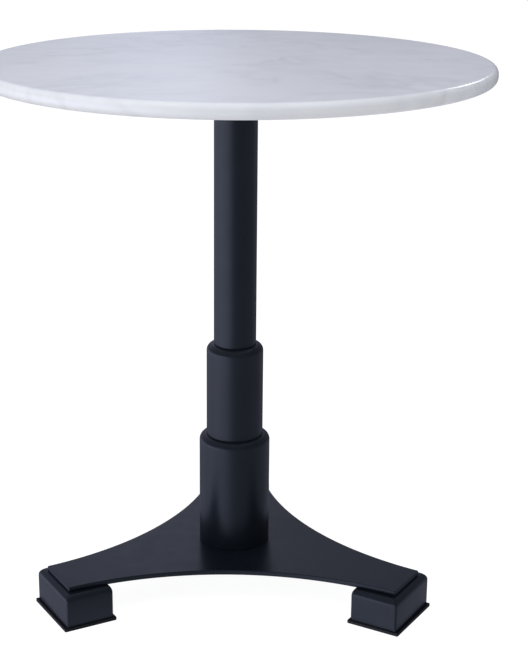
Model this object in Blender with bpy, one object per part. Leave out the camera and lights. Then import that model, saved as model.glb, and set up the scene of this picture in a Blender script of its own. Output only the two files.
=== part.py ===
"""A round bistro table: a marble top on a stepped steel column with a three-armed base.

Run with: blender --background --python part.py
Metres, +Z up. The origin is on the floor, on the column's axis. The front arms point to
the front left and the front right, and the third arm points to the rear, along +Y.
"""

from math import atan2, cos, pi, radians, sin, sqrt

import bmesh
import bpy

GAP = 0.0003  # clearance between pieces that touch
OVERCUT = 0.002  # how far a drill runs past the faces it goes through
EDGE_CHAMFER = 0.001  # on turned edges

# Overall
TABLE_HEIGHT = 0.760
TOP_RADIUS = 0.350
TOP_THICKNESS = 0.020
TOP_UPPER_ROUNDING = 0.0085
TOP_LOWER_ROUNDING = 0.0080

# Base plate
PLATE_TOP = 0.059
PLATE_THICKNESS = 0.007
ARM_REACH = 0.282
ARM_TIP_HALF_WIDTH = 0.0384
WAIST = 0.1146  # from the axis to the middle of each concave side
ARM_ANGLES = {"front_left": 210, "front_right": 330, "rear": 90}

# Feet, measured along the arm and across it
SOLE_THICKNESS = 0.005
SOLE_HALF_LENGTH = 0.039
SOLE_HALF_WIDTH = 0.0535
SOLE_CORNER = 0.0012
SOLE_PLUG_HEIGHT = 0.010
SOLE_PLUG_WALL = 0.003
FOOT_CENTRE = 0.256
FOOT_END_INSET = 0.0038  # how far the sole stands out from the box at its two ends
FOOT_SIDE_INSET = 0.0012  # and at its two sides
FOOT_WALL = 0.003
FOOT_CORNER = 0.0035
FOOT_TOP_ROUNDING = 0.009

# Column
TUBE_RADIUS = 0.03015
TUBE_WALL = 0.003
SLEEVE_WALL = 0.0025
MIDDLE_RADIUS = 0.0405
MIDDLE_TOP = 0.360
LOWER_RADIUS = 0.0508
LOWER_TOP = 0.224
BUSH_HEIGHT = 0.020
BUSH_DROP = 0.014  # from a sleeve's top down to its upper bush

# Head, under the marble
PAD_RADIUS = 0.014
PAD_THICKNESS = 0.0018
PAD_CLEARANCE = 0.001  # round the screw
SPIDER_THICKNESS = 0.008
SPIDER_REACH = 0.150
SPIDER_HALF_WIDTH = 0.020
FIXING_CIRCLE = 0.125  # from the axis to each top screw
BOSS_RADIUS = 0.036
BOSS_THICKNESS = 0.010
BOSS_SPIGOT = 0.030
PILOT_RADIUS = 0.012

# Fasteners
ROD_RADIUS = 0.006
ROD_HOLE_RADIUS = 0.0065
ROD_ENGAGEMENT = 0.032  # how far the rod is screwed into the boss
ROD_PROUD = 0.003
WASHER_RADIUS = 0.022
WASHER_THICKNESS = 0.003
NUT_HALF_FLATS = 0.0095
NUT_HEIGHT = 0.010
TOP_SCREW = {"shank": 0.003, "head": 0.0056, "head_height": 0.0045}
FOOT_SCREW = {"shank": 0.004, "head": 0.0066, "head_height": 0.0080}
FOOT_SCREW_OFFSET = 0.018  # along the arm, each side of the foot's centre
SCREW_TIP_CHAMFER = 0.0005
SCREW_HEAD_CHAMFER = 0.12  # share of the head's radius
INSERT_RADIUS = 0.005
INSERT_LENGTH = 0.0115
TIP_CLEARANCE = 0.002  # from a top screw's tip to the end of its insert
TAPPED_SKIN = 0.0018  # plate left above the foot screws' blind holes

# Heights that follow
TOP_UNDERSIDE = TABLE_HEIGHT - TOP_THICKNESS
SPIDER_TOP = TOP_UNDERSIDE - PAD_THICKNESS - 2 * GAP
SPIDER_BOTTOM = SPIDER_TOP - SPIDER_THICKNESS
BOSS_TOP = SPIDER_BOTTOM - GAP
TUBE_TOP = BOSS_TOP - BOSS_THICKNESS - GAP
PLATE_BOTTOM = PLATE_TOP - PLATE_THICKNESS
COLUMN_FOOT = PLATE_TOP + GAP
BOX_TOP = PLATE_BOTTOM - GAP
BOX_BOTTOM = SOLE_THICKNESS + GAP

# Facets
FINE = 64
ROUND = 40
SMALL = 24
SCREW = 12

COLOURS = {  # base colour, roughness, metallic
    "marble": ((0.72, 0.73, 0.76), 0.25, 0.0),
    "black_steel": ((0.016, 0.018, 0.025), 0.38, 0.0),
    "black_plastic": ((0.010, 0.011, 0.014), 0.55, 0.0),
    "zinc_steel": ((0.55, 0.56, 0.58), 0.35, 1.0),
    "brass": ((0.75, 0.55, 0.24), 0.30, 1.0),
    "black_rubber": ((0.020, 0.020, 0.020), 0.80, 0.0),
    "white_nylon": ((0.75, 0.74, 0.70), 0.45, 0.0),
}


def clear_scene():
    for obj in list(bpy.data.objects):
        bpy.data.objects.remove(obj)


def make_material(name, finish):
    colour, roughness, metallic = COLOURS[finish]
    material = bpy.data.materials.new(name)
    material.use_nodes = True
    shader = material.node_tree.nodes["Principled BSDF"]
    shader.inputs["Base Color"].default_value = (*colour, 1)
    shader.inputs["Roughness"].default_value = roughness
    shader.inputs["Metallic"].default_value = metallic
    material.diffuse_color = (*colour, 1)
    return material


def add_object(name, bm, finish, parent=None, location=(0, 0, 0)):
    """Closes bm into a mesh and places it as a named object with its own material."""
    bmesh.ops.remove_doubles(bm, verts=bm.verts, dist=1e-7)
    bmesh.ops.recalc_face_normals(bm, faces=bm.faces)
    mesh = bpy.data.meshes.new(name)
    bm.to_mesh(mesh)
    bm.free()
    mesh.shade_smooth()
    mesh.set_sharp_from_angle(angle=radians(35))
    mesh.materials.append(make_material(name, finish))
    obj = bpy.data.objects.new(name, mesh)
    obj.parent = parent
    obj.location = location
    bpy.context.scene.collection.objects.link(obj)
    return obj


def turned(name, profile, finish, steps, location=(0, 0, 0), parent=None):
    """Spins an (r, z) profile about Z. A profile that starts and ends on the axis is left open."""
    bm = bmesh.new()
    points = [bm.verts.new((r, 0, z)) for r, z in profile]
    pairs = list(zip(points, points[1:]))
    if profile[0][0] > 0:
        pairs.append((points[-1], points[0]))
    edges = [bm.edges.new(pair) for pair in pairs]
    bmesh.ops.spin(
        bm, geom=points + edges, cent=(0, 0, 0), axis=(0, 0, 1), angle=2 * pi, steps=steps, use_merge=True
    )
    return add_object(name, bm, finish, parent, location)


def ring(name, inner, outer, bottom, top, finish, steps=SMALL, at=(0, 0)):
    profile = [(outer, top), (outer, bottom), (inner, bottom), (inner, top)]
    return turned(name, profile, finish, steps, location=(*at, 0))


def extruded(name, outline, bottom, top, finish, parent=None, location=(0, 0, 0)):
    """A flat plate: an outline of (x, y) points raised from bottom to top."""
    bm = bmesh.new()
    face = bm.faces.new([bm.verts.new((x, y, bottom)) for x, y in outline])
    raised = bmesh.ops.extrude_face_region(bm, geom=[face])["geom"]
    verts = [item for item in raised if isinstance(item, bmesh.types.BMVert)]
    bmesh.ops.translate(bm, verts=verts, vec=(0, 0, top - bottom))
    return add_object(name, bm, finish, parent, location)


def stacked(name, sections, finish, parent=None, location=(0, 0, 0)):
    """Skins a chain of level outlines, each with its height, and closes both ends."""
    bm = bmesh.new()
    loops = [[bm.verts.new((x, y, z)) for x, y in outline] for outline, z in sections]
    for below, above in zip(loops, loops[1:]):
        for i in range(len(below)):
            bm.faces.new((below[i - 1], below[i], above[i], above[i - 1]))
    bm.faces.new(loops[0])
    bm.faces.new(loops[-1])
    return add_object(name, bm, finish, parent, location)


def arc(centre_u, centre_v, radius, start, end, steps):
    """Points of an arc in a plane, angles in degrees from the first axis towards the second."""
    angles = [radians(start + (end - start) * i / steps) for i in range(steps + 1)]
    return [(centre_u + radius * cos(a), centre_v + radius * sin(a)) for a in angles]


def rotated(points, angle):
    return [(x * cos(angle) - y * sin(angle), x * sin(angle) + y * cos(angle)) for x, y in points]


def rounded_rectangle(half_x, half_y, corner, steps=3):
    outline = []
    for quadrant, (side_x, side_y) in enumerate(((1, 1), (-1, 1), (-1, -1), (1, -1))):
        centre = (side_x * (half_x - corner), side_y * (half_y - corner))
        for i in range(steps + 1):
            angle = pi / 2 * (quadrant + i / steps)
            outline.append((centre[0] + corner * cos(angle), centre[1] + corner * sin(angle)))
    return outline


def add_drill(name, radius, bottom, top, parent=None, at=(0, 0), steps=SCREW):
    """A hidden cylinder that cuts a hole wherever drill() uses it."""
    bm = bmesh.new()
    bmesh.ops.create_cone(
        bm, cap_ends=True, segments=steps, radius1=radius, radius2=radius, depth=top - bottom
    )
    cutter = add_object(name, bm, "zinc_steel", parent, (*at, (top + bottom) / 2))
    cutter.hide_render = True
    cutter.display_type = "WIRE"
    return cutter


def drill(obj, *cutters):
    for cutter in cutters:
        cut = obj.modifiers.new(cutter.name, "BOOLEAN")
        cut.operation = "DIFFERENCE"
        cut.object = cutter


def screw(name, size, under_head, tip, parent=None, at=(0, 0)):
    """A screw with its head below, its shank running up from under_head to tip."""
    head, shank = size["head"], size["shank"]
    bottom = under_head - size["head_height"]
    chamfer = head * SCREW_HEAD_CHAMFER
    profile = [
        (0, tip),
        (shank - SCREW_TIP_CHAMFER, tip),
        (shank, tip - SCREW_TIP_CHAMFER),
        (shank, under_head),
        (head, under_head),
        (head, bottom + chamfer),
        (head - chamfer, bottom),
        (0, bottom),
    ]
    return turned(name, profile, "zinc_steel", SCREW, location=(*at, 0), parent=parent)


def build_top():
    upper, lower = TOP_UPPER_ROUNDING, TOP_LOWER_ROUNDING
    profile = [(0, TABLE_HEIGHT)]
    profile += arc(TOP_RADIUS - upper, TABLE_HEIGHT - upper, upper, 90, 0, 5)
    profile += arc(TOP_RADIUS - lower, TOP_UNDERSIDE + lower, lower, 0, -90, 4)
    profile.append((0, TOP_UNDERSIDE))
    return turned("marble_top", profile, "marble", FINE)


def fixing_places():
    """The four top fixings, on the diagonals of the cross."""
    reach = FIXING_CIRCLE / sqrt(2)
    return {
        "front_left": (-reach, -reach),
        "front_right": (reach, -reach),
        "rear_left": (-reach, reach),
        "rear_right": (reach, reach),
    }


def build_spider():
    """A cross of two flat bars at right angles, cut from one plate, lying on the diagonals."""
    half = SPIDER_HALF_WIDTH
    round_end = arc(SPIDER_REACH - half, 0, half, -90, 90, 8)
    arm = [*round_end, (half, half)]
    outline = []
    for quarter_turn in range(4):
        outline += rotated(arm, pi / 4 + quarter_turn * pi / 2)
    spider = extruded("top_spider", outline, SPIDER_BOTTOM, SPIDER_TOP, "black_steel")
    below, above = SPIDER_BOTTOM - OVERCUT, SPIDER_TOP + OVERCUT
    drill(spider, add_drill("pilot_drill", PILOT_RADIUS, below, above, steps=SMALL))
    return spider


def build_head_boss():
    """Flange on the tube's end, spigot inside the tube, pilot up into the cross, rod hole through."""
    spigot = TUBE_RADIUS - TUBE_WALL - GAP
    under_flange = BOSS_TOP - BOSS_THICKNESS
    pilot = PILOT_RADIUS - GAP
    profile = [
        (pilot, SPIDER_TOP - GAP),
        (pilot, BOSS_TOP),
        (BOSS_RADIUS - EDGE_CHAMFER, BOSS_TOP),
        (BOSS_RADIUS, BOSS_TOP - EDGE_CHAMFER),
        (BOSS_RADIUS, under_flange),
        (spigot, under_flange),
        (spigot, under_flange - BOSS_SPIGOT),
        (ROD_HOLE_RADIUS, under_flange - BOSS_SPIGOT),
        (ROD_HOLE_RADIUS, SPIDER_TOP - GAP),
    ]
    return turned("head_boss", profile, "black_steel", ROUND)


def build_top_fixings(marble, spider):
    pad_bottom = SPIDER_TOP + GAP
    hole_radius = TOP_SCREW["shank"] + GAP
    insert_top = TOP_UNDERSIDE + INSERT_LENGTH
    pad_top = pad_bottom + PAD_THICKNESS
    pocket = (INSERT_RADIUS + GAP, TOP_UNDERSIDE - OVERCUT, insert_top + GAP)
    clearance = (hole_radius, SPIDER_BOTTOM - OVERCUT, SPIDER_TOP + OVERCUT)
    for place, at in fixing_places().items():
        drill(marble, add_drill(f"insert_drill_{place}", *pocket, at=at))
        drill(spider, add_drill(f"screw_drill_{place}", *clearance, at=at))
        insert = (hole_radius, INSERT_RADIUS, TOP_UNDERSIDE, insert_top)
        ring(f"insert_{place}", *insert, "brass", SCREW, at)
        pad = (hole_radius + PAD_CLEARANCE, PAD_RADIUS, pad_bottom, pad_top)
        ring(f"top_pad_{place}", *pad, "black_rubber", SCREW, at)
        screw(f"spider_screw_{place}", TOP_SCREW, SPIDER_BOTTOM - GAP, insert_top - TIP_CLEARANCE, at=at)


def sleeve(name, radius, top, inside):
    """A tube whose top edge is spun inwards to a rounded shoulder round the piece inside it."""
    mouth = inside + GAP
    rounding = radius - mouth
    inner_rounding = rounding - SLEEVE_WALL
    profile = [(radius, COLUMN_FOOT), (radius - SLEEVE_WALL, COLUMN_FOOT)]
    profile += arc(mouth, top - rounding, inner_rounding, 0, 90, 4)
    profile += arc(mouth, top - rounding, rounding, 90, 0, 5)
    return turned(name, profile, "black_steel", ROUND)


def build_column():
    ring("column_tube", TUBE_RADIUS - TUBE_WALL, TUBE_RADIUS, COLUMN_FOOT, TUBE_TOP, "black_steel", ROUND)
    sleeve("middle_sleeve", MIDDLE_RADIUS, MIDDLE_TOP, TUBE_RADIUS)
    sleeve("lower_sleeve", LOWER_RADIUS, LOWER_TOP, MIDDLE_RADIUS)
    for stage, inside, radius, top in (
        ("middle", TUBE_RADIUS, MIDDLE_RADIUS, MIDDLE_TOP),
        ("lower", MIDDLE_RADIUS, LOWER_RADIUS, LOWER_TOP),
    ):
        outer = radius - SLEEVE_WALL - GAP
        for end, bottom in (("top", top - BUSH_DROP - BUSH_HEIGHT), ("bottom", COLUMN_FOOT)):
            size = (inside + GAP, outer, bottom, bottom + BUSH_HEIGHT)
            ring(f"{stage}_{end}_bush", *size, "white_nylon", ROUND)
    spigot = TUBE_RADIUS - TUBE_WALL - GAP
    ring("foot_spigot", ROD_HOLE_RADIUS, spigot, COLUMN_FOOT, COLUMN_FOOT + BUSH_HEIGHT, "black_steel")


def build_tie_rod():
    washer_top = PLATE_BOTTOM - GAP
    nut_top = washer_top - WASHER_THICKNESS - GAP
    nut_bottom = nut_top - NUT_HEIGHT
    rod_top = BOSS_TOP - BOSS_THICKNESS - BOSS_SPIGOT + ROD_ENGAGEMENT
    rod_bottom = nut_bottom - ROD_PROUD
    profile = [
        (0, rod_top),
        (ROD_RADIUS - EDGE_CHAMFER, rod_top),
        (ROD_RADIUS, rod_top - EDGE_CHAMFER),
        (ROD_RADIUS, rod_bottom + EDGE_CHAMFER),
        (ROD_RADIUS - EDGE_CHAMFER, rod_bottom),
        (0, rod_bottom),
    ]
    turned("tie_rod", profile, "zinc_steel", SCREW)
    washer = (ROD_HOLE_RADIUS, WASHER_RADIUS, washer_top - WASHER_THICKNESS, washer_top)
    ring("tie_rod_washer", *washer, "zinc_steel")
    corner = NUT_HALF_FLATS / cos(pi / 6)
    hexagon = [(corner * cos(i * pi / 3), corner * sin(i * pi / 3)) for i in range(6)]
    nut = extruded("tie_rod_nut", hexagon, nut_bottom, nut_top, "zinc_steel")
    drill(nut, add_drill("nut_drill", ROD_RADIUS + GAP, nut_bottom - OVERCUT, nut_top + OVERCUT))


def concave_side(bisector, steps=14):
    """One side of the base plate, from tip to tip, as an arc through the waist."""
    along = ARM_REACH * cos(pi / 3) + ARM_TIP_HALF_WIDTH * sin(pi / 3)
    across = ARM_REACH * sin(pi / 3) - ARM_TIP_HALF_WIDTH * cos(pi / 3)
    centre = (along**2 + across**2 - WAIST**2) / (2 * (along - WAIST))
    radius = centre - WAIST
    half_angle = atan2(across, centre - along)
    angles = [half_angle * (2 * i / steps - 1) for i in range(steps + 1)]
    side = [(centre - radius * cos(a), radius * sin(a)) for a in angles]
    return rotated(side, bisector)


def build_base_plate():
    outline = []
    for bisector in (30, 150, 270):
        outline += concave_side(radians(bisector))
    plate = extruded("base_plate", outline, PLATE_BOTTOM, PLATE_TOP, "black_steel")
    below, above = PLATE_BOTTOM - OVERCUT, PLATE_TOP + OVERCUT
    drill(plate, add_drill("rod_drill", ROD_HOLE_RADIUS, below, above, steps=SMALL))
    return plate


def foot_box(name, arm):
    """A pressed steel box, open below, with rounded upper edges."""
    half_x, half_y = SOLE_HALF_LENGTH - FOOT_END_INSET, SOLE_HALF_WIDTH - FOOT_SIDE_INSET

    def section(inset, z):
        return rounded_rectangle(half_x - inset, half_y - inset, FOOT_CORNER), z

    def dome(extra, rounding, steps=4):
        angles = [pi / 2 * i / steps for i in range(steps + 1)]
        top = BOX_TOP - extra
        return [section(extra + rounding * (1 - cos(a)), top - rounding * (1 - sin(a))) for a in angles]

    inside = dome(FOOT_WALL, FOOT_TOP_ROUNDING - FOOT_WALL)
    sections = [*reversed(inside), section(FOOT_WALL, BOX_BOTTOM), section(0, BOX_BOTTOM)]
    sections += dome(0, FOOT_TOP_ROUNDING)
    return stacked(name, sections, "black_steel", arm, (FOOT_CENTRE, 0, 0))


def foot_sole(name, arm):
    """A flanged plastic sole with a hollow plug that fits up into the box."""
    plug_x = SOLE_HALF_LENGTH - FOOT_END_INSET - FOOT_WALL - GAP
    plug_y = SOLE_HALF_WIDTH - FOOT_SIDE_INSET - FOOT_WALL - GAP
    flange = rounded_rectangle(SOLE_HALF_LENGTH, SOLE_HALF_WIDTH, SOLE_CORNER)
    plug = rounded_rectangle(plug_x, plug_y, FOOT_CORNER)
    hollow = rounded_rectangle(plug_x - SOLE_PLUG_WALL, plug_y - SOLE_PLUG_WALL, FOOT_CORNER)
    plug_top = SOLE_THICKNESS + SOLE_PLUG_HEIGHT
    sections = [
        (flange, 0),
        (flange, SOLE_THICKNESS),
        (plug, SOLE_THICKNESS),
        (plug, plug_top),
        (hollow, plug_top),
        (hollow, SOLE_THICKNESS),
    ]
    return stacked(name, sections, "black_plastic", arm, (FOOT_CENTRE, 0, 0))


def build_foot(place, angle, plate):
    arm = bpy.data.objects.new(f"{place}_arm", None)
    arm.rotation_euler = (0, 0, radians(angle))
    bpy.context.scene.collection.objects.link(arm)
    box = foot_box(f"{place}_foot_box", arm)
    foot_sole(f"{place}_foot_sole", arm)
    under_head = BOX_TOP - FOOT_WALL - GAP
    hole_top = PLATE_TOP - TAPPED_SKIN
    hole = (FOOT_SCREW["shank"] + GAP, under_head - OVERCUT, hole_top)
    for side, offset in (("inner", -FOOT_SCREW_OFFSET), ("outer", FOOT_SCREW_OFFSET)):
        at = (FOOT_CENTRE + offset, 0)
        cutter = add_drill(f"{place}_foot_drill_{side}", *hole, arm, at)
        drill(box, cutter)
        drill(plate, cutter)
        screw(f"{place}_foot_screw_{side}", FOOT_SCREW, under_head, hole_top - GAP, arm, at)


def main():
    clear_scene()
    marble = build_top()
    spider = build_spider()
    build_top_fixings(marble, spider)
    build_head_boss()
    build_column()
    build_tie_rod()
    plate = build_base_plate()
    for place, angle in ARM_ANGLES.items():
        build_foot(place, angle, plate)


main()
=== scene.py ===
"""The looks of the bistro table: fine meshes, materials, soft studio light and the camera.

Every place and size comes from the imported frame's boxes, in metres, +Z up. Roundings and
other sizes that a box doesn't give are named below.
"""

from math import atan2, cos, pi, radians, sin, tau

import bmesh
import bpy
from mathutils import Matrix, Vector


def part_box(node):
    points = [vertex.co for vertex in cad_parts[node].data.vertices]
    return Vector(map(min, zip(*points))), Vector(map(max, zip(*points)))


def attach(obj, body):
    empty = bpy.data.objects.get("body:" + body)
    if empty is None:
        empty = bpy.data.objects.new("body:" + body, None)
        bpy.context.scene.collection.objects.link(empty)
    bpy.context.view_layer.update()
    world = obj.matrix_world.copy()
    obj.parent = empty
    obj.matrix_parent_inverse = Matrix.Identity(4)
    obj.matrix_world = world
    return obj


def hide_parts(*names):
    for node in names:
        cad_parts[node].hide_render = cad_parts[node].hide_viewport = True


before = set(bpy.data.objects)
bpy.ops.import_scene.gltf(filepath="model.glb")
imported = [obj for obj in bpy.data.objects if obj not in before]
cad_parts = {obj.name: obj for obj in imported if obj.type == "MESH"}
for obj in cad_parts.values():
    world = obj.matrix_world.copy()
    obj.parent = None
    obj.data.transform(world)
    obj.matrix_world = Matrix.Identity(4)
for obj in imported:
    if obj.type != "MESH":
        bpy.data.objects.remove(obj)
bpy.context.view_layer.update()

# Camera, round the column's axis
CAMERA_DISTANCE = 2.1364
CAMERA_HEIGHT = 1.0586
CAMERA_AZIMUTH = 0.0179
CAMERA_PITCH = 0.3098
CAMERA_ROLL = 0.0045
LENS = 85.29
SENSOR = 36.0
SHIFT_X = 0.0435

# Light. SCREEN and UPPER_ROOM list (degrees to the left of the front, brightness).
LIGHT_COLOUR = (0.96, 0.98, 1.0)
ROOM_COLOUR = (0.92, 0.96, 1.0)
ROOM_LIGHT = 0.36
GLOSS_COLOUR = (0.87, 0.91, 1.20)
BACKDROP_COLOUR = (0.98, 0.98, 0.99)
FLOOR_GLOW = 0.95
SCREEN = (
    (-150, 0.0), (-125, 0.05), (-100, 0.0), (0, 0.0), (12, 0.11), (22, 0.40), (34, 0.78),
    (48, 0.96), (66, 1.0), (80, 0.98), (95, 0.70), (118, 0.26), (130, 0.30), (145, 0.04),
)
SCREEN_LIGHT = 2.5
SCREEN_TURN = 8.0  # degrees
SCREEN_SLANT = 45.0  # degrees that the screen turns by as it rises
UPPER_ROOM = (
    (-180, 0.42), (-177, 0.37), (-173, 0.43), (-168, 0.27), (-60, 0.30),
    (60, 0.46), (171, 0.50), (177, 1.0), (180, 0.42),
)

# Shapes that the boxes don't give
TOP_UPPER_ROUNDING = 0.0085
TOP_LOWER_ROUNDING = 0.0080
TOP_RIM_STRIP = 0.0015  # narrow flat ring inside each rounding, which keeps its shading even
SHEET = 0.0025  # wall of the spun sleeves
SHOULDER_STRIP = 0.002
PLATE_EDGE = 0.0009
TIP_HALF_WIDTH = 0.0384
TIP_CORNER = 0.0025
WAIST = 0.1146
BOX_CORNER = 0.0035
BOX_ROUNDING = 0.009
BOX_INNER_ROUNDING = 0.5  # as a share of the outer end's rounding
BOX_SIDE_ROUNDING = 0.7
BOX_CORNER_GROWTH = 0.35
BOX_LOWER_EDGE = 0.0004
BOX_STRIP = 0.001
BOX_CAP_INSET = 0.002
BOX_ARC_STEPS = 9
BOX_WALL = 0.003
SOLE_CORNER = 0.0012
SOLE_EDGE = 0.0006
CROSS_EDGE = 0.0008
CROSS_HALF_WIDTH = 0.020
CROSS_PILOT = 0.012
TUBE_WALL = 0.003
TOUCHING_GAP = 0.0003  # between pieces that touch
OVERCUT = 0.002
BOSS_EDGE = 0.0012
ROD_HOLE_RADIUS = 0.0065
WASHER_EDGE = 0.0004
THREAD_PITCH = 0.00175
THREAD_DEPTH = 0.0009
THREAD_LENGTH = 0.034
NUT_CHAMFER_START = 0.95  # as a share of half the width across its flats
NUT_CHAMFER_STEPS = 4
NUT_BORE_CHAMFER = 0.0006
TOP_SCREW_SHANK = 0.003
SCREW_TIP_CHAMFER = 0.0005
SCREW_RIM_CHAMFER = 0.0002
HEAD_DOME = 0.55  # share of the head's height that is domed
HEAD_FLAT = 0.55  # share of the head's radius that is flat
HEAD_ROUND = 0.45
HEAD_STEPS = 8
SOCKET_OVERCUT = 0.001
SOCKET_RADIUS = 0.0023
SOCKET_DEPTH = 0.0025
BEAD_RADIUS = 0.0024
BEAD_HALF_SPAN = radians(31)
BEAD_STEPS = 80
BEAD_SIDES = 12
BEAD_RIPPLES = 13
BEAD_RIPPLE = 0.10
BEAD_SINK = 0.2  # how far the bead's middle lies below the cross, as a share of its radius
SLAB_STEPS = 256
ROUND_STEPS = 192
BOSS_STEPS = 128
RING_STEPS = 96
SCREW_STEPS = 64
SMALL_STEPS = 48
HOLE_STEPS = 24
TIP_STEPS = 6
SMOOTH_ANGLE = 40  # degrees; sharper edges stay sharp
SOCKET_SMOOTH_ANGLE = 35

ARMS = {"front_left": 210, "front_right": 330, "rear": 90}
CORNERS = ("front_left", "front_right", "rear_left", "rear_right")


# ---------------------------------------------------------------- materials


class Nodes:
    """A material's node tree, with short calls for the nodes used here."""

    def __init__(self, name):
        self.material = bpy.data.materials.new(name)
        self.material.use_nodes = True
        self.tree = self.material.node_tree
        self.shader = self.tree.nodes["Principled BSDF"]
        self.place = self.add("ShaderNodeTexCoord").outputs["Object"]

    def add(self, kind, **settings):
        node = self.tree.nodes.new(kind)
        for key, value in settings.items():
            setattr(node, key, value)
        return node

    def link(self, output, target):
        self.tree.links.new(output, target)

    def set(self, **values):
        """Sets sockets of the shader by name, with spaces written as underscores."""
        for key, value in values.items():
            self.shader.inputs[key.replace("_", " ")].default_value = value

    def noise(self, scale, detail=3.0, roughness=0.5, distortion=0.0, place=None):
        node = self.add("ShaderNodeTexNoise")
        self.link(place or self.place, node.inputs["Vector"])
        node.inputs["Scale"].default_value = scale
        node.inputs["Detail"].default_value = detail
        node.inputs["Roughness"].default_value = roughness
        node.inputs["Distortion"].default_value = distortion
        return node.outputs["Fac"]

    def ramp(self, fac, *stops):
        """A colour ramp of (position, colour) stops; a colour may be one grey number."""
        node = self.add("ShaderNodeValToRGB")
        elements = node.color_ramp.elements
        while len(elements) < len(stops):
            elements.new(0.5)
        for element, (position, colour) in zip(elements, stops):
            element.position = position
            rgb = (colour,) * 3 if isinstance(colour, (int, float)) else colour
            element.color = (*rgb, 1)
        self.link(fac, node.inputs["Fac"])
        return node.outputs["Color"]

    def spread(self, fac, low, high, start=0.3, end=0.7):
        """Maps fac from start..end to low..high."""
        node = self.add("ShaderNodeMapRange")
        self.link(fac, node.inputs["Value"])
        for name, value in (("From Min", start), ("From Max", end), ("To Min", low), ("To Max", high)):
            node.inputs[name].default_value = value
        return node.outputs["Result"]

    def mix(self, fac, first, second, blend="MIX"):
        node = self.add("ShaderNodeMix", data_type="RGBA", blend_type=blend)
        colours = [socket for socket in node.inputs if socket.type == "RGBA"]
        if isinstance(fac, (int, float)):
            node.inputs[0].default_value = fac
        else:
            self.link(fac, node.inputs[0])
        for value, socket in zip((first, second), colours):
            if isinstance(value, tuple):
                socket.default_value = (*value, 1)
            else:
                self.link(value, socket)
        return next(socket for socket in node.outputs if socket.type == "RGBA")

    def math(self, operation, *values):
        node = self.add("ShaderNodeMath", operation=operation)
        for value, socket in zip(values, node.inputs):
            if isinstance(value, (int, float)):
                socket.default_value = value
            else:
                self.link(value, socket)
        return node.outputs[0]

    def bump(self, height, distance, strength=1.0, normal=None):
        node = self.add("ShaderNodeBump")
        node.inputs["Strength"].default_value = strength
        node.inputs["Distance"].default_value = distance
        self.link(height, node.inputs["Height"])
        if normal:
            self.link(normal, node.inputs["Normal"])
        return node.outputs["Normal"]

    def stretched(self, scale):
        node = self.add("ShaderNodeMapping")
        self.link(self.place, node.inputs["Vector"])
        node.inputs["Scale"].default_value = scale
        return node.outputs["Vector"]


def marble_material():
    """White marble: wide soft clouds, blurred grey veins, polished above and sawn below."""
    m = Nodes("white_marble")
    m.set(IOR=1.5, Specular_IOR_Level=0.5)
    clouds = m.noise(2.6, 4.0, 0.5, 0.8)
    body = m.ramp(clouds, (0.30, (0.548, 0.552, 0.588)), (0.72, (0.610, 0.613, 0.632)))
    drift = m.noise(6.0, 4.0, 0.55, 1.8, m.stretched((1.0, 2.4, 1.0)))
    body = m.mix(m.spread(drift, 0.0, 0.45, 0.50, 0.80), body, (0.475, 0.485, 0.52))
    vein_course = m.noise(2.1, 5.0, 0.58, 1.1)
    distance = m.math("ABSOLUTE", m.math("SUBTRACT", vein_course, 0.5))
    broken = m.spread(m.noise(11.0, 3.0), 0.0, 0.38, 0.42, 0.66)
    vein = m.math("MULTIPLY", m.spread(distance, 1.0, 0.0, 0.0, 0.035), broken)
    body = m.mix(vein, body, (0.41, 0.42, 0.45))
    crystals = m.noise(300.0, 2.0)
    m.link(m.mix(m.spread(crystals, 0.0, 0.02), body, (0.75, 0.75, 0.77)), m.shader.inputs["Base Color"])
    up = m.add("ShaderNodeSeparateXYZ")
    m.link(m.add("ShaderNodeNewGeometry").outputs["Normal"], up.inputs["Vector"])
    sawn = m.spread(up.outputs["Z"], 1.0, 0.0, -0.95, -0.6)
    polish = m.spread(m.noise(26.0, 4.0), 0.235, 0.262)
    rough = m.math("ADD", polish, m.math("MULTIPLY", sawn, 0.4))
    m.link(rough, m.shader.inputs["Roughness"])
    saw_marks = m.noise(140.0, 3.0, 0.6, 0.0, m.stretched((1.0, 0.08, 1.0)))
    saw_height = m.math("MULTIPLY", saw_marks, sawn)
    flatness = m.bump(m.noise(16.0, 2.0), 0.00008, 0.5)
    m.link(m.bump(saw_height, 0.0003, 0.6, flatness), m.shader.inputs["Normal"])
    return m.material


def coat_material():
    """Semi-gloss black powder coat over steel: fine orange peel, faint clouding of the gloss."""
    m = Nodes("black_powder_coat")
    m.set(IOR=1.5, Specular_IOR_Level=0.25, Specular_Tint=(0.88, 0.97, 1.0, 1))
    tone = m.noise(14.0, 4.0)
    m.link(
        m.ramp(tone, (0.3, (0.0036, 0.0050, 0.0078)), (0.7, (0.0050, 0.0068, 0.0104))),
        m.shader.inputs["Base Color"],
    )
    gloss = m.spread(m.noise(35.0, 4.0), 0.28, 0.34)
    m.link(gloss, m.shader.inputs["Roughness"])
    peel = m.noise(650.0, 2.0, 0.5)
    swell = m.noise(190.0, 2.0, 0.5)
    fine = m.bump(peel, 0.00003, 0.5)
    m.link(m.bump(swell, 0.00005, 0.5, fine), m.shader.inputs["Normal"])
    return m.material


def plastic_material():
    """Moulded black plastic with a fine spark-eroded grain."""
    m = Nodes("moulded_black_plastic")
    m.set(IOR=1.5, Specular_IOR_Level=0.2)
    m.link(
        m.ramp(m.noise(40.0), (0.3, (0.0028, 0.0030, 0.0036)), (0.7, (0.0045, 0.0048, 0.0055))),
        m.shader.inputs["Base Color"],
    )
    m.link(m.spread(m.noise(120.0), 0.50, 0.62), m.shader.inputs["Roughness"])
    m.link(m.bump(m.noise(1400.0, 2.0), 0.00004, 0.6), m.shader.inputs["Normal"])
    return m.material


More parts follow.
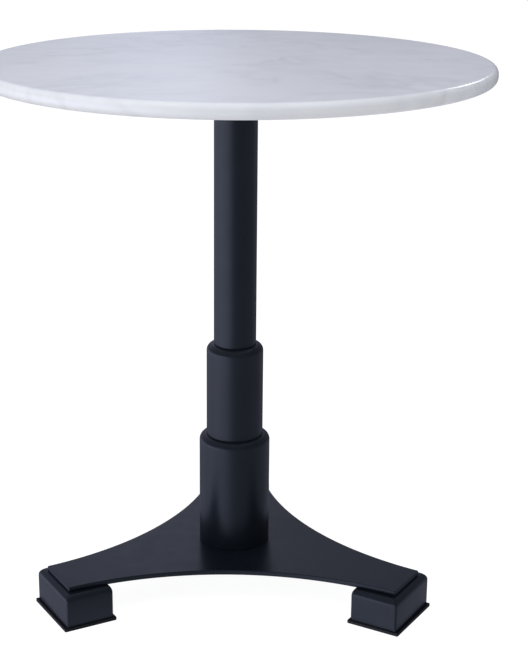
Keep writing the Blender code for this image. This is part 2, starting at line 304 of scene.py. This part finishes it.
def rubber_material():
    """Matt black rubber with a faint dusty bloom."""
    m = Nodes("black_rubber")
    m.set(IOR=1.5, Specular_IOR_Level=0.25)
    m.link(m.ramp(m.noise(220.0), (0.35, 0.010), (0.75, 0.018)), m.shader.inputs["Base Color"])
    m.link(m.spread(m.noise(300.0), 0.72, 0.88), m.shader.inputs["Roughness"])
    m.link(m.bump(m.noise(1200.0, 2.0), 0.00005, 0.6), m.shader.inputs["Normal"])
    return m.material


def zinc_material():
    """Bright zinc plate: pale metal with a soft mottle and fine turning marks."""
    m = Nodes("bright_zinc_plate")
    m.set(Metallic=1.0)
    m.link(
        m.ramp(m.noise(160.0, 4.0), (0.3, (0.56, 0.57, 0.60)), (0.7, (0.66, 0.67, 0.68))),
        m.shader.inputs["Base Color"],
    )
    m.link(m.spread(m.noise(260.0, 3.0), 0.24, 0.40), m.shader.inputs["Roughness"])
    turning = m.noise(500.0, 2.0, 0.5, 0.0, m.stretched((0.2, 0.2, 4.0)))
    m.link(m.bump(turning, 0.00003, 0.5), m.shader.inputs["Normal"])
    return m.material


def brass_material():
    """Turned brass, slightly dulled."""
    m = Nodes("turned_brass")
    m.set(Metallic=1.0)
    m.link(
        m.ramp(m.noise(200.0, 4.0), (0.3, (0.66, 0.47, 0.19)), (0.7, (0.78, 0.59, 0.27))),
        m.shader.inputs["Base Color"],
    )
    m.link(m.spread(m.noise(300.0), 0.26, 0.40), m.shader.inputs["Roughness"])
    turning = m.noise(500.0, 2.0, 0.5, 0.0, m.stretched((0.2, 0.2, 4.0)))
    m.link(m.bump(turning, 0.00003, 0.5), m.shader.inputs["Normal"])
    return m.material


def nylon_material():
    """Natural nylon: milky off-white with faint flow marks."""
    m = Nodes("natural_nylon")
    m.set(IOR=1.53)
    m.link(
        m.ramp(m.noise(50.0), (0.3, (0.66, 0.65, 0.60)), (0.7, (0.74, 0.73, 0.69))),
        m.shader.inputs["Base Color"],
    )
    m.link(m.spread(m.noise(120.0), 0.38, 0.50), m.shader.inputs["Roughness"])
    m.link(m.bump(m.noise(400.0), 0.00003, 0.4), m.shader.inputs["Normal"])
    return m.material


# ---------------------------------------------------------------- meshes


def finished(name, bm, material):
    bmesh.ops.remove_doubles(bm, verts=bm.verts, dist=1e-7)
    bmesh.ops.recalc_face_normals(bm, faces=bm.faces)
    mesh = bpy.data.meshes.new(name)
    bm.to_mesh(mesh)
    bm.free()
    mesh.shade_smooth()
    mesh.set_sharp_from_angle(angle=radians(SMOOTH_ANGLE))
    mesh.materials.append(material)
    obj = bpy.data.objects.new(name, mesh)
    bpy.context.scene.collection.objects.link(obj)
    return obj


def stand_for(obj, node):
    """obj takes the CAD node's place: the node is hidden and obj is attached to the root body."""
    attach(obj, "root")
    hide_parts(node)
    return obj


def arc(centre_u, centre_v, radius, start, end, steps):
    """Points of an arc in a plane, angles in degrees from the first axis towards the second."""
    angles = [radians(start + (end - start) * i / steps) for i in range(steps + 1)]
    return [(centre_u + radius * cos(a), centre_v + radius * sin(a)) for a in angles]


def rotated(points, angle):
    return [(x * cos(angle) - y * sin(angle), x * sin(angle) + y * cos(angle)) for x, y in points]


def turned(name, profile, material, steps=ROUND_STEPS, at=(0, 0)):
    """Spins an (r, z) profile about an upright axis. Without a hole, it starts and ends at r = 0."""
    bm = bmesh.new()
    points = [bm.verts.new((r, 0, z)) for r, z in profile]
    pairs = list(zip(points, points[1:]))
    if profile[0][0] > 0:
        pairs.append((points[-1], points[0]))
    edges = [bm.edges.new(pair) for pair in pairs]
    bmesh.ops.spin(
        bm, geom=points + edges, cent=(0, 0, 0), axis=(0, 0, 1), angle=tau, steps=steps, use_merge=True
    )
    bmesh.ops.translate(bm, verts=bm.verts, vec=(*at, 0))
    return finished(name, bm, material)


def skinned(name, sections, material, turn=0.0, at=(0, 0), bored=False):
    """Skins a chain of level outlines, each with its height. A bored piece's last outline meets its
    first; otherwise both ends are closed."""
    bm = bmesh.new()
    loops = [[bm.verts.new((x, y, z)) for x, y in outline] for outline, z in sections]
    for below, above in zip(loops, loops[1:]):
        for i in range(len(below)):
            bm.faces.new((below[i - 1], below[i], above[i], above[i - 1]))
    if bored:
        for i in range(len(loops[0])):
            bm.faces.new((loops[-1][i - 1], loops[-1][i], loops[0][i], loops[0][i - 1]))
    else:
        bm.faces.new(loops[0])
        bm.faces.new(loops[-1])
    bmesh.ops.translate(bm, verts=bm.verts, vec=(*at, 0))
    bmesh.ops.rotate(bm, verts=bm.verts, cent=(0, 0, 0), matrix=Matrix.Rotation(turn, 3, "Z"))
    return finished(name, bm, material)


def shrunk(outline, inset):
    """An outline moved inwards by inset, for outlines listed anticlockwise."""
    moved = []
    for i, point in enumerate(outline):
        before, after = Vector(outline[i - 1]), Vector(outline[(i + 1) % len(outline)])
        here = Vector(point)
        first, second = (here - before).normalized(), (after - here).normalized()
        normals = Vector((-first.y, first.x)) + Vector((-second.y, second.x))
        normals.normalize()
        along = normals.dot(Vector((-first.y, first.x)))
        moved.append(tuple(here + normals * (inset / max(along, 0.3))))
    return moved


def slab(name, outline, bottom, top, edge, material, turn=0.0, at=(0, 0), steps=4):
    """A flat plate whose upper and lower edges are rounded by a small radius."""
    angles = [pi / 2 * i / steps for i in range(steps + 1)]
    lower = [(shrunk(outline, edge * (1 - sin(a))), bottom + edge * (1 - cos(a))) for a in angles]
    upper = [(shrunk(outline, edge * (1 - cos(a))), top - edge * (1 - sin(a))) for a in angles]
    flats = edge * 1.5
    sections = [(shrunk(outline, flats), bottom), *lower, *upper, (shrunk(outline, flats), top)]
    return skinned(name, sections, material, turn, at)


def rounded_rectangle(half_x, half_y, corner, steps=6):
    outline = []
    for quadrant, (side_x, side_y) in enumerate(((1, 1), (-1, 1), (-1, -1), (1, -1))):
        start = 90 * quadrant
        centre = (side_x * (half_x - corner), side_y * (half_y - corner))
        outline += arc(*centre, corner, start, start + 90, steps)
    return outline


def cut(obj, cutter):
    """Cuts the cutter out of obj and removes the cutter."""
    modifier = obj.modifiers.new("cut", "BOOLEAN")
    modifier.operation = "DIFFERENCE"
    modifier.object = cutter
    bpy.context.view_layer.update()
    evaluated = obj.evaluated_get(bpy.context.evaluated_depsgraph_get())
    mesh = bpy.data.meshes.new_from_object(evaluated)
    obj.modifiers.clear()
    obj.data = mesh
    bpy.data.objects.remove(cutter)


def smooth_again(obj):
    """Restores the smooth shading that a cut takes away."""
    obj.data.shade_smooth()
    obj.data.set_sharp_from_angle(angle=radians(SMOOTH_ANGLE))


def prism(sides, radius, bottom, top, at, turn=0.0):
    """A plain prism used to cut a hole or a socket."""
    bm = bmesh.new()
    bmesh.ops.create_cone(
        bm, cap_ends=True, segments=sides, radius1=radius, radius2=radius, depth=top - bottom
    )
    bmesh.ops.rotate(bm, verts=bm.verts, cent=(0, 0, 0), matrix=Matrix.Rotation(turn, 3, "Z"))
    bmesh.ops.translate(bm, verts=bm.verts, vec=(*at, (top + bottom) / 2))
    mesh = bpy.data.meshes.new("cutter")
    bm.to_mesh(mesh)
    bm.free()
    obj = bpy.data.objects.new("cutter", mesh)
    bpy.context.scene.collection.objects.link(obj)
    return obj


def centre_of(node):
    low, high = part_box(node)
    return ((low.x + high.x) / 2, (low.y + high.y) / 2)


# ---------------------------------------------------------------- pieces


def build_marble(material):
    low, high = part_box("marble_top")
    radius = high.x
    flat = radius - TOP_UPPER_ROUNDING
    under = radius - TOP_LOWER_ROUNDING
    profile = [(0, high.z), (flat * 0.5, high.z), (flat - TOP_RIM_STRIP, high.z)]
    profile += arc(flat, high.z - TOP_UPPER_ROUNDING, TOP_UPPER_ROUNDING, 90, 0, 12)
    profile += arc(under, low.z + TOP_LOWER_ROUNDING, TOP_LOWER_ROUNDING, 0, -90, 10)
    profile += [(under - TOP_RIM_STRIP, low.z), (under * 0.5, low.z), (0, low.z)]
    marble = turned("marble_slab", profile, material, SLAB_STEPS)
    for corner in CORNERS:
        insert = f"insert_{corner}"
        bore_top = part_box(insert)[1].z + TOUCHING_GAP
        half = (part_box(insert)[1].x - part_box(insert)[0].x) / 2
        hole = half + TOUCHING_GAP
        cut(marble, prism(HOLE_STEPS, hole, low.z - OVERCUT, bore_top, centre_of(insert)))
    smooth_again(marble)
    stand_for(marble, "marble_top")


def build_tube(material):
    low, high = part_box("column_tube")
    inner = high.x - TUBE_WALL
    profile = [(high.x, low.z), (inner, low.z), (inner, high.z), (high.x, high.z)]
    stand_for(turned("column_post", profile, material), "column_tube")


def build_sleeve(name, node, inside, material):
    """A tube whose top edge is spun inwards to a rounded shoulder round the piece inside it."""
    low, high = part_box(node)
    radius, mouth = high.x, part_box(inside)[1].x + TOUCHING_GAP
    rounding = radius - mouth
    profile = [(radius, low.z), (radius - SHEET, low.z)]
    profile += arc(mouth, high.z - rounding, rounding - SHEET, 0, 90, 8)
    profile += arc(mouth, high.z - rounding, rounding, 90, 0, 14)
    profile.append((radius, high.z - rounding - SHOULDER_STRIP))
    stand_for(turned(name, profile, material), node)


def plate_outline(reach, steps=40):
    """Three blunt arms joined by three arcs, anticlockwise, with small corners at the tips."""
    along = reach * cos(pi / 3) + TIP_HALF_WIDTH * sin(pi / 3)
    across = reach * sin(pi / 3) - TIP_HALF_WIDTH * cos(pi / 3)
    centre = (along**2 + across**2 - WAIST**2) / (2 * (along - WAIST))
    radius = centre - WAIST
    half_angle = atan2(across, centre - along)
    angles = [half_angle * (2 * i / steps - 1) for i in range(steps + 1)]
    side = [(centre - radius * cos(a), radius * sin(a)) for a in angles]
    outline = []
    for bisector in (30, 150, 270):
        outline += rotated(side, radians(bisector))
    return rounded_tips(outline)


def rounded_tips(outline):
    """Replaces each sharp corner of an outline with a short curve."""
    smooth = []
    for i, point in enumerate(outline):
        here = Vector(point)
        before = (Vector(outline[i - 1]) - here).normalized()
        after = (Vector(outline[(i + 1) % len(outline)]) - here).normalized()
        if before.dot(after) < -0.5:
            smooth.append(point)
            continue
        start, end = here + before * TIP_CORNER, here + after * TIP_CORNER
        for step in range(TIP_STEPS + 1):
            t = step / TIP_STEPS
            smooth.append(tuple(start * (1 - t) ** 2 + here * 2 * t * (1 - t) + end * t**2))
    return smooth


def build_plate(material):
    low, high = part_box("base_plate")
    reach = high.y
    plate = slab("three_arm_plate", plate_outline(reach), low.z, high.z, PLATE_EDGE, material)
    cut(plate, prism(SMALL_STEPS, ROD_HOLE_RADIUS, low.z - OVERCUT, high.z + OVERCUT, (0, 0)))
    smooth_again(plate)
    stand_for(plate, "base_plate")


def build_foot(place, angle, coat, plastic):
    turn = radians(angle)
    sole_low, sole_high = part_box("rear_foot_sole")
    half_x, half_y = (sole_high.y - sole_low.y) / 2, (sole_high.x - sole_low.x) / 2
    centre = (sole_high.y + sole_low.y) / 2
    box_low, box_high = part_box("rear_foot_box")
    box_x, box_y = (box_high.y - box_low.y) / 2, (box_high.x - box_low.x) / 2

    def section(shrink, z):
        """The box's outline where its end has rounded in by shrink; its other sides round in less."""
        inner = shrink * BOX_INNER_ROUNDING
        corner = BOX_CORNER + shrink * BOX_CORNER_GROWTH
        outline = rounded_rectangle(
            box_x - (shrink + inner) / 2, box_y - shrink * BOX_SIDE_ROUNDING, corner
        )
        return [(x - (shrink - inner) / 2, y) for x, y in outline], z

    def wall_section(z):
        return rounded_rectangle(box_x - BOX_WALL, box_y - BOX_WALL, BOX_CORNER), z

    inside = [wall_section(box_low.z), wall_section(box_high.z - BOX_ROUNDING)]
    inside += [section(BOX_ROUNDING, box_high.z - BOX_WALL)]
    sections = [*reversed(inside), section(BOX_LOWER_EDGE, box_low.z)]
    sections.append(section(0, box_low.z + BOX_LOWER_EDGE))
    sections.append(section(0, box_high.z - BOX_ROUNDING - BOX_STRIP))
    angles = [pi / 2 * i / BOX_ARC_STEPS for i in range(BOX_ARC_STEPS + 1)]
    sections += [
        section(BOX_ROUNDING * (1 - cos(a)), box_high.z - BOX_ROUNDING * (1 - sin(a))) for a in angles
    ]
    sections.append(section(BOX_ROUNDING + BOX_CAP_INSET, box_high.z))
    box = skinned(f"{place}_box", sections, coat, turn, (centre, 0))
    stand_for(box, f"{place}_foot_box")

    flange_top = box_low.z - TOUCHING_GAP
    plug_x, plug_y = box_x - BOX_WALL - TOUCHING_GAP, box_y - BOX_WALL - TOUCHING_GAP
    flange = rounded_rectangle(half_x, half_y, SOLE_CORNER)
    small = rounded_rectangle(half_x - SOLE_EDGE, half_y - SOLE_EDGE, SOLE_CORNER)
    plug = rounded_rectangle(plug_x, plug_y, BOX_CORNER)
    hollow = rounded_rectangle(plug_x - BOX_WALL, plug_y - BOX_WALL, BOX_CORNER)
    sections = [
        (small, sole_low.z),
        (flange, sole_low.z + SOLE_EDGE),
        (flange, flange_top - SOLE_EDGE),
        (small, flange_top),
        (plug, flange_top),
        (plug, sole_high.z),
        (hollow, sole_high.z),
        (hollow, flange_top),
    ]
    sole = skinned(f"{place}_sole", sections, plastic, turn, (centre, 0))
    stand_for(sole, f"{place}_foot_sole")


def build_cross(material):
    low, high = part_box("top_spider")
    half = CROSS_HALF_WIDTH
    reach = (high.x - half) * 2**0.5 + half
    arm = [*arc(reach - half, 0, half, -90, 90, 20), (half, half)]
    outline = []
    for quarter_turn in range(4):
        outline += rotated(arm, pi / 4 + quarter_turn * pi / 2)
    cross = slab("top_cross", outline, low.z, high.z, CROSS_EDGE, material)
    cut(cross, prism(SMALL_STEPS, CROSS_PILOT, low.z - OVERCUT, high.z + OVERCUT, (0, 0)))
    hole = TOP_SCREW_SHANK + TOUCHING_GAP
    for corner in CORNERS:
        place = centre_of(f"insert_{corner}")
        cut(cross, prism(HOLE_STEPS, hole, low.z - OVERCUT, high.z + OVERCUT, place))
    smooth_again(cross)
    stand_for(cross, "top_spider")


def circle(radius, steps=SMALL_STEPS):
    return [(radius * cos(tau * i / steps), radius * sin(tau * i / steps)) for i in range(steps)]


def softened_ring(name, node, bore, edge, material):
    """A turned ring with the node's outline, its four edges rounded."""
    low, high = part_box(node)
    outer = high.x
    profile = arc(outer - edge, high.z - edge, edge, 90, 0, 4)
    profile += arc(outer - edge, low.z + edge, edge, 0, -90, 4)
    profile += arc(bore + edge, low.z + edge, edge, -90, -180, 4)
    profile += arc(bore + edge, high.z - edge, edge, 180, 90, 4)
    stand_for(turned(name, profile, material, RING_STEPS), node)


def build_head_boss(material):
    """Flange under the cross with softened edges, pilot up through it, and spigot into the tube."""
    low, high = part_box("head_boss")
    flange_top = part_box("top_spider")[0].z - TOUCHING_GAP
    flange_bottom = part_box("column_tube")[1].z + TOUCHING_GAP
    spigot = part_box("column_tube")[1].x - TUBE_WALL - TOUCHING_GAP
    outer, bore, pilot = high.x, ROD_HOLE_RADIUS, CROSS_PILOT - TOUCHING_GAP
    profile = [(pilot, high.z - BOSS_EDGE / 2), (pilot, flange_top)]
    profile += arc(outer - BOSS_EDGE, flange_top - BOSS_EDGE, BOSS_EDGE, 90, 0, 5)
    profile += arc(outer - BOSS_EDGE, flange_bottom + BOSS_EDGE, BOSS_EDGE, 0, -90, 5)
    profile += [(spigot, flange_bottom), (spigot, low.z + BOSS_EDGE), (spigot - BOSS_EDGE, low.z)]
    profile += [(bore, low.z), (bore, high.z), (pilot - BOSS_EDGE / 2, high.z)]
    stand_for(turned("boss", profile, material, BOSS_STEPS), "head_boss")


def thread_outline(radius, z):
    """The outline of a screw thread at one height: its ridge climbs one pitch each turn."""
    outline = []
    for i in range(SMALL_STEPS):
        share = (z / THREAD_PITCH - i / SMALL_STEPS) % 1
        depth = THREAD_DEPTH * (1 - abs(2 * share - 1))
        angle = tau * i / SMALL_STEPS
        outline.append(((radius - depth) * cos(angle), (radius - depth) * sin(angle)))
    return outline


def build_tie_rod(material):
    """A plain rod, threaded at both ends, with a chamfer at each end."""
    low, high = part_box("tie_rod")
    radius = high.x
    row = THREAD_PITCH / 6
    count = int(THREAD_LENGTH / row)
    start, end = low.z + THREAD_DEPTH, high.z - THREAD_DEPTH
    lower = [start + row * i for i in range(count)]
    upper = [end - row * i for i in reversed(range(count))]
    tip = circle(radius - 1.5 * THREAD_DEPTH)
    sections = [(tip, low.z), *((thread_outline(radius, z), z) for z in lower)]
    sections += [(circle(radius), lower[-1] + row), (circle(radius), upper[0] - row)]
    sections += [*((thread_outline(radius, z), z) for z in upper), (tip, high.z)]
    stand_for(skinned("threaded_rod", sections, material), "tie_rod")


def hexagon_outline(half_flats, limit):
    """A hexagon cut back to a circle of radius limit, as a nut's chamfer cuts it."""
    outline = []
    for i in range(2 * SMALL_STEPS):
        angle = tau * i / (2 * SMALL_STEPS)
        from_flat = (angle + pi / 6) % (pi / 3) - pi / 6
        reach = min(half_flats / cos(from_flat), limit)
        outline.append((reach * cos(angle + pi / 6), reach * sin(angle + pi / 6)))
    return outline


def build_nut(material):
    low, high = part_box("tie_rod_nut")
    corner = high.x
    flats = corner * cos(pi / 6)
    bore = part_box("tie_rod")[1].x + TOUCHING_GAP
    start = NUT_CHAMFER_START * flats
    rise = (corner - start) * 0.5
    shares = [i / NUT_CHAMFER_STEPS for i in range(NUT_CHAMFER_STEPS + 1)]
    hexagons = [hexagon_outline(flats, start + (corner - start) * share) for share in shares]
    steps = list(zip(shares, hexagons))
    mouth, wall = circle(bore + NUT_BORE_CHAMFER, 2 * SMALL_STEPS), circle(bore, 2 * SMALL_STEPS)
    sections = [(mouth, low.z)]
    sections += [(hexagon, low.z + rise * share) for share, hexagon in steps]
    sections += [(hexagon, high.z - rise * share) for share, hexagon in reversed(steps)]
    sections += [(mouth, high.z), (wall, high.z - NUT_BORE_CHAMFER), (wall, low.z + NUT_BORE_CHAMFER)]
    stand_for(skinned("clamp_nut", sections, material, bored=True), "tie_rod_nut")


def build_cross_screw(corner, material):
    """A socket screw seen from below: a low domed head with a hexagon socket."""
    node = f"spider_screw_{corner}"
    low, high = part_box(node)
    head = (high.x - low.x) / 2
    under_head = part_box("top_spider")[0].z - TOUCHING_GAP
    dome = (under_head - low.z) * HEAD_DOME
    profile = [(0, high.z), (TOP_SCREW_SHANK - SCREW_TIP_CHAMFER, high.z)]
    profile += [(TOP_SCREW_SHANK, high.z - SCREW_TIP_CHAMFER), (TOP_SCREW_SHANK, under_head)]
    profile += [(head - SCREW_RIM_CHAMFER, under_head), (head, under_head - SCREW_RIM_CHAMFER)]
    for i in range(HEAD_STEPS + 1):
        angle = pi / 2 * i / HEAD_STEPS
        profile.append((head * (HEAD_FLAT + HEAD_ROUND * cos(angle)), low.z + dome * (1 - sin(angle))))
    profile.append((0, low.z))
    screw = turned(f"cross_screw_{corner}", profile, material, SCREW_STEPS)
    place = centre_of(node)
    screw.data.transform(Matrix.Translation((*place, 0)))
    cut(screw, prism(6, SOCKET_RADIUS, low.z - SOCKET_OVERCUT, low.z + SOCKET_DEPTH, place))
    screw.data.set_sharp_from_angle(angle=radians(SOCKET_SMOOTH_ANGLE))
    stand_for(screw, node)


def build_cross_weld(material):
    """Weld beads where the boss meets the underside of the cross's four arms."""
    radius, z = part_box("head_boss")[1].x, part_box("top_spider")[0].z
    bm = bmesh.new()
    for quarter_turn in range(4):
        middle = pi / 4 + quarter_turn * pi / 2
        rings = []
        for step in range(BEAD_STEPS + 1):
            share = step / BEAD_STEPS
            angle = middle + BEAD_HALF_SPAN * (2 * share - 1)
            swell = BEAD_RADIUS * (1 + BEAD_RIPPLE * sin(share * pi * 2 * BEAD_RIPPLES))
            swell *= min(1.0, 0.35 + 8 * min(share, 1 - share))
            outward = Vector((cos(angle), sin(angle), 0))
            centre = outward * radius + Vector((0, 0, z - BEAD_RADIUS * BEAD_SINK))
            ring = [centre + outward * u + Vector((0, 0, v)) for u, v in circle(swell, BEAD_SIDES)]
            rings.append([bm.verts.new(point) for point in ring])
        for before, after in zip(rings, rings[1:]):
            for i in range(BEAD_SIDES):
                bm.faces.new((before[i - 1], before[i], after[i], after[i - 1]))
        bm.faces.new(rings[0])
        bm.faces.new(rings[-1])
    weld = finished("cross_weld", bm, material)
    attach(weld, "root")


def paint_frame_nodes(materials):
    """Pieces that no finer mesh replaces keep their CAD shape and get the right material."""
    finish = {"bush": "nylon", "foot_screw": "zinc", "insert": "brass", "spigot": "coat", "pad": "rubber"}
    for name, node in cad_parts.items():
        for word, kind in finish.items():
            if word in name:
                node.data.materials.clear()
                node.data.materials.append(materials[kind])


def build_pieces():
    materials = {
        "marble": marble_material(),
        "coat": coat_material(),
        "plastic": plastic_material(),
        "rubber": rubber_material(),
        "zinc": zinc_material(),
        "brass": brass_material(),
        "nylon": nylon_material(),
    }
    coat, zinc = materials["coat"], materials["zinc"]
    paint_frame_nodes(materials)
    build_marble(materials["marble"])
    build_tube(coat)
    build_sleeve("middle_stage", "middle_sleeve", "column_tube", coat)
    build_sleeve("lower_stage", "lower_sleeve", "middle_sleeve", coat)
    build_plate(coat)
    for place, angle in ARMS.items():
        build_foot(place, angle, coat, materials["plastic"])
    build_cross(coat)
    build_head_boss(coat)
    build_cross_weld(coat)
    build_tie_rod(zinc)
    build_nut(zinc)
    softened_ring("clamp_washer", "tie_rod_washer", ROD_HOLE_RADIUS, WASHER_EDGE, zinc)
    for corner in CORNERS:
        build_cross_screw(corner, zinc)


# ---------------------------------------------------------------- stage, light and camera


def build_floor():
    bm = bmesh.new()
    bmesh.ops.create_circle(bm, cap_ends=True, segments=96, radius=14)
    m = Nodes("studio_floor")
    m.set(Roughness=0.9, Specular_IOR_Level=0.0, Emission_Color=(1, 1, 1, 1), Emission_Strength=FLOOR_GLOW)
    m.link(m.ramp(m.noise(3.0), (0.3, 0.19), (0.7, 0.21)), m.shader.inputs["Base Color"])
    floor = finished("studio_floor", bm, m.material)
    floor.location.z = -0.0002
    floor.visible_glossy = False
    floor.visible_shadow = False


class Sky(Nodes):
    """The world's node tree. A direction's turn is its angle in degrees, to the left of the front."""

    def __init__(self, name):
        self.world = bpy.data.worlds.new(name)
        self.world.use_nodes = True
        self.tree = self.world.node_tree
        self.path = self.add("ShaderNodeLightPath").outputs
        split = self.add("ShaderNodeSeparateXYZ")
        self.link(self.add("ShaderNodeTexCoord").outputs["Generated"], split.inputs["Vector"])
        self.x, self.y, self.z = split.outputs
        left, front = self.math("MULTIPLY", self.x, -1.0), self.math("MULTIPLY", self.y, -1.0)
        self.turn = self.math("DEGREES", self.math("ARCTAN2", left, front))

    def round_the_room(self, turn, *stops):
        """A brightness given at a few turns, from -180 to 180 degrees."""
        share = self.spread(turn, 0.0, 1.0, -180, 180)
        return self.ramp(share, *(((turn + 180) / 360, brightness) for turn, brightness in stops))

    def glow(self, colour, brightness):
        node = self.add("ShaderNodeBackground")
        node.inputs["Color"].default_value = (*colour, 1)
        if isinstance(brightness, (int, float)):
            node.inputs["Strength"].default_value = brightness
        else:
            self.link(brightness, node.inputs["Strength"])
        return node.outputs["Background"]

    def choose(self, fac, first, second):
        mix = self.add("ShaderNodeMixShader")
        self.link(fac, mix.inputs["Fac"])
        self.link(first, mix.inputs[1])
        self.link(second, mix.inputs[2])
        return mix.outputs["Shader"]


def build_world():
    """A dim studio. Gloss shows a tall pale screen on the left, which fades towards the floor."""
    sky = Sky("studio")
    room = sky.spread(sky.y, 0.46, 0.12, -0.2, 0.95)
    slant = sky.math("MULTIPLY_ADD", sky.z, SCREEN_SLANT, SCREEN_TURN)
    slanted = sky.math("SUBTRACT", sky.turn, slant)
    screen = sky.round_the_room(slanted, *SCREEN)
    fading = sky.spread(sky.z, 0.36, 1.0, -0.43, -0.28)
    screen = sky.math("MULTIPLY", sky.math("MULTIPLY", screen, SCREEN_LIGHT), fading)
    near_floor = sky.spread(sky.z, 0.13, 0.0, -0.48, -0.42)
    low = sky.math("ADD", sky.math("ADD", room, near_floor), screen)
    upper_room = sky.round_the_room(sky.turn, *UPPER_ROOM)
    high = sky.math("MULTIPLY", upper_room, sky.spread(sky.z, 0.68, 1.0, 0.12, 0.42))
    above = sky.spread(sky.z, 0.0, 1.0, -0.05, 0.10)
    low_share = sky.math("MULTIPLY", sky.math("SUBTRACT", 1.0, above), low)
    high_share = sky.math("MULTIPLY", above, high)
    brightness = sky.math("ADD", low_share, high_share)
    seen_in_gloss = sky.glow(GLOSS_COLOUR, brightness)
    even = sky.glow(ROOM_COLOUR, ROOM_LIGHT)
    backdrop = sky.glow(BACKDROP_COLOUR, 1.0)
    shown = sky.choose(sky.path["Is Glossy Ray"], even, seen_in_gloss)
    shown = sky.choose(sky.path["Is Camera Ray"], shown, backdrop)
    sky.link(shown, sky.tree.nodes["World Output"].inputs["Surface"])
    sky.world.cycles.sampling_method = "NONE"
    bpy.context.scene.world = sky.world


def add_softbox(name, place, target, width, height, power, glossy=False):
    light = bpy.data.lights.new(name, "AREA")
    light.shape = "RECTANGLE"
    light.size, light.size_y = width, height
    light.energy = power
    light.color = LIGHT_COLOUR
    obj = bpy.data.objects.new(name, light)
    obj.location = place
    obj.rotation_euler = (Vector(target) - Vector(place)).to_track_quat("-Z", "Y").to_euler()
    obj.visible_diffuse = not glossy
    obj.visible_glossy = glossy
    obj.visible_camera = False
    bpy.context.scene.collection.objects.link(obj)
    return obj


def build_lights():
    top = (0, 0, 0.7)
    add_softbox("overhead_softbox", (0.15, -0.8, 3.0), top, 3.0, 3.0, 64)
    add_softbox("key_softbox", (-2.3, -1.4, 1.6), top, 1.6, 2.0, 41)
    add_softbox("front_fill", (2.0, -2.4, 1.0), top, 2.5, 2.0, 5)
    reflector = add_softbox("rim_reflector", (1.3, 2.2, 2.0), top, 0.4, 0.4, 5, glossy=True)
    lit_pieces = bpy.data.collections.new("rim_reflector_pieces")
    lit_pieces.objects.link(bpy.data.objects["marble_slab"])
    reflector.light_linking.receiver_collection = lit_pieces


def build_camera():
    camera = bpy.data.cameras.new("camera")
    camera.sensor_width = SENSOR
    camera.lens = LENS
    camera.shift_x = SHIFT_X
    obj = bpy.data.objects.new("camera", camera)
    across, back = sin(CAMERA_AZIMUTH), -cos(CAMERA_AZIMUTH)
    place = Vector((CAMERA_DISTANCE * across, CAMERA_DISTANCE * back, CAMERA_HEIGHT))
    turn = Matrix.Rotation(CAMERA_AZIMUTH, 4, "Z") @ Matrix.Rotation(pi / 2 - CAMERA_PITCH, 4, "X")
    obj.matrix_world = Matrix.Translation(place) @ turn @ Matrix.Rotation(CAMERA_ROLL, 4, "Z")
    bpy.context.scene.collection.objects.link(obj)
    bpy.context.scene.camera = obj
    bpy.context.scene.view_settings.view_transform = "Standard"


build_camera()
build_pieces()
build_floor()
build_world()
build_lights()
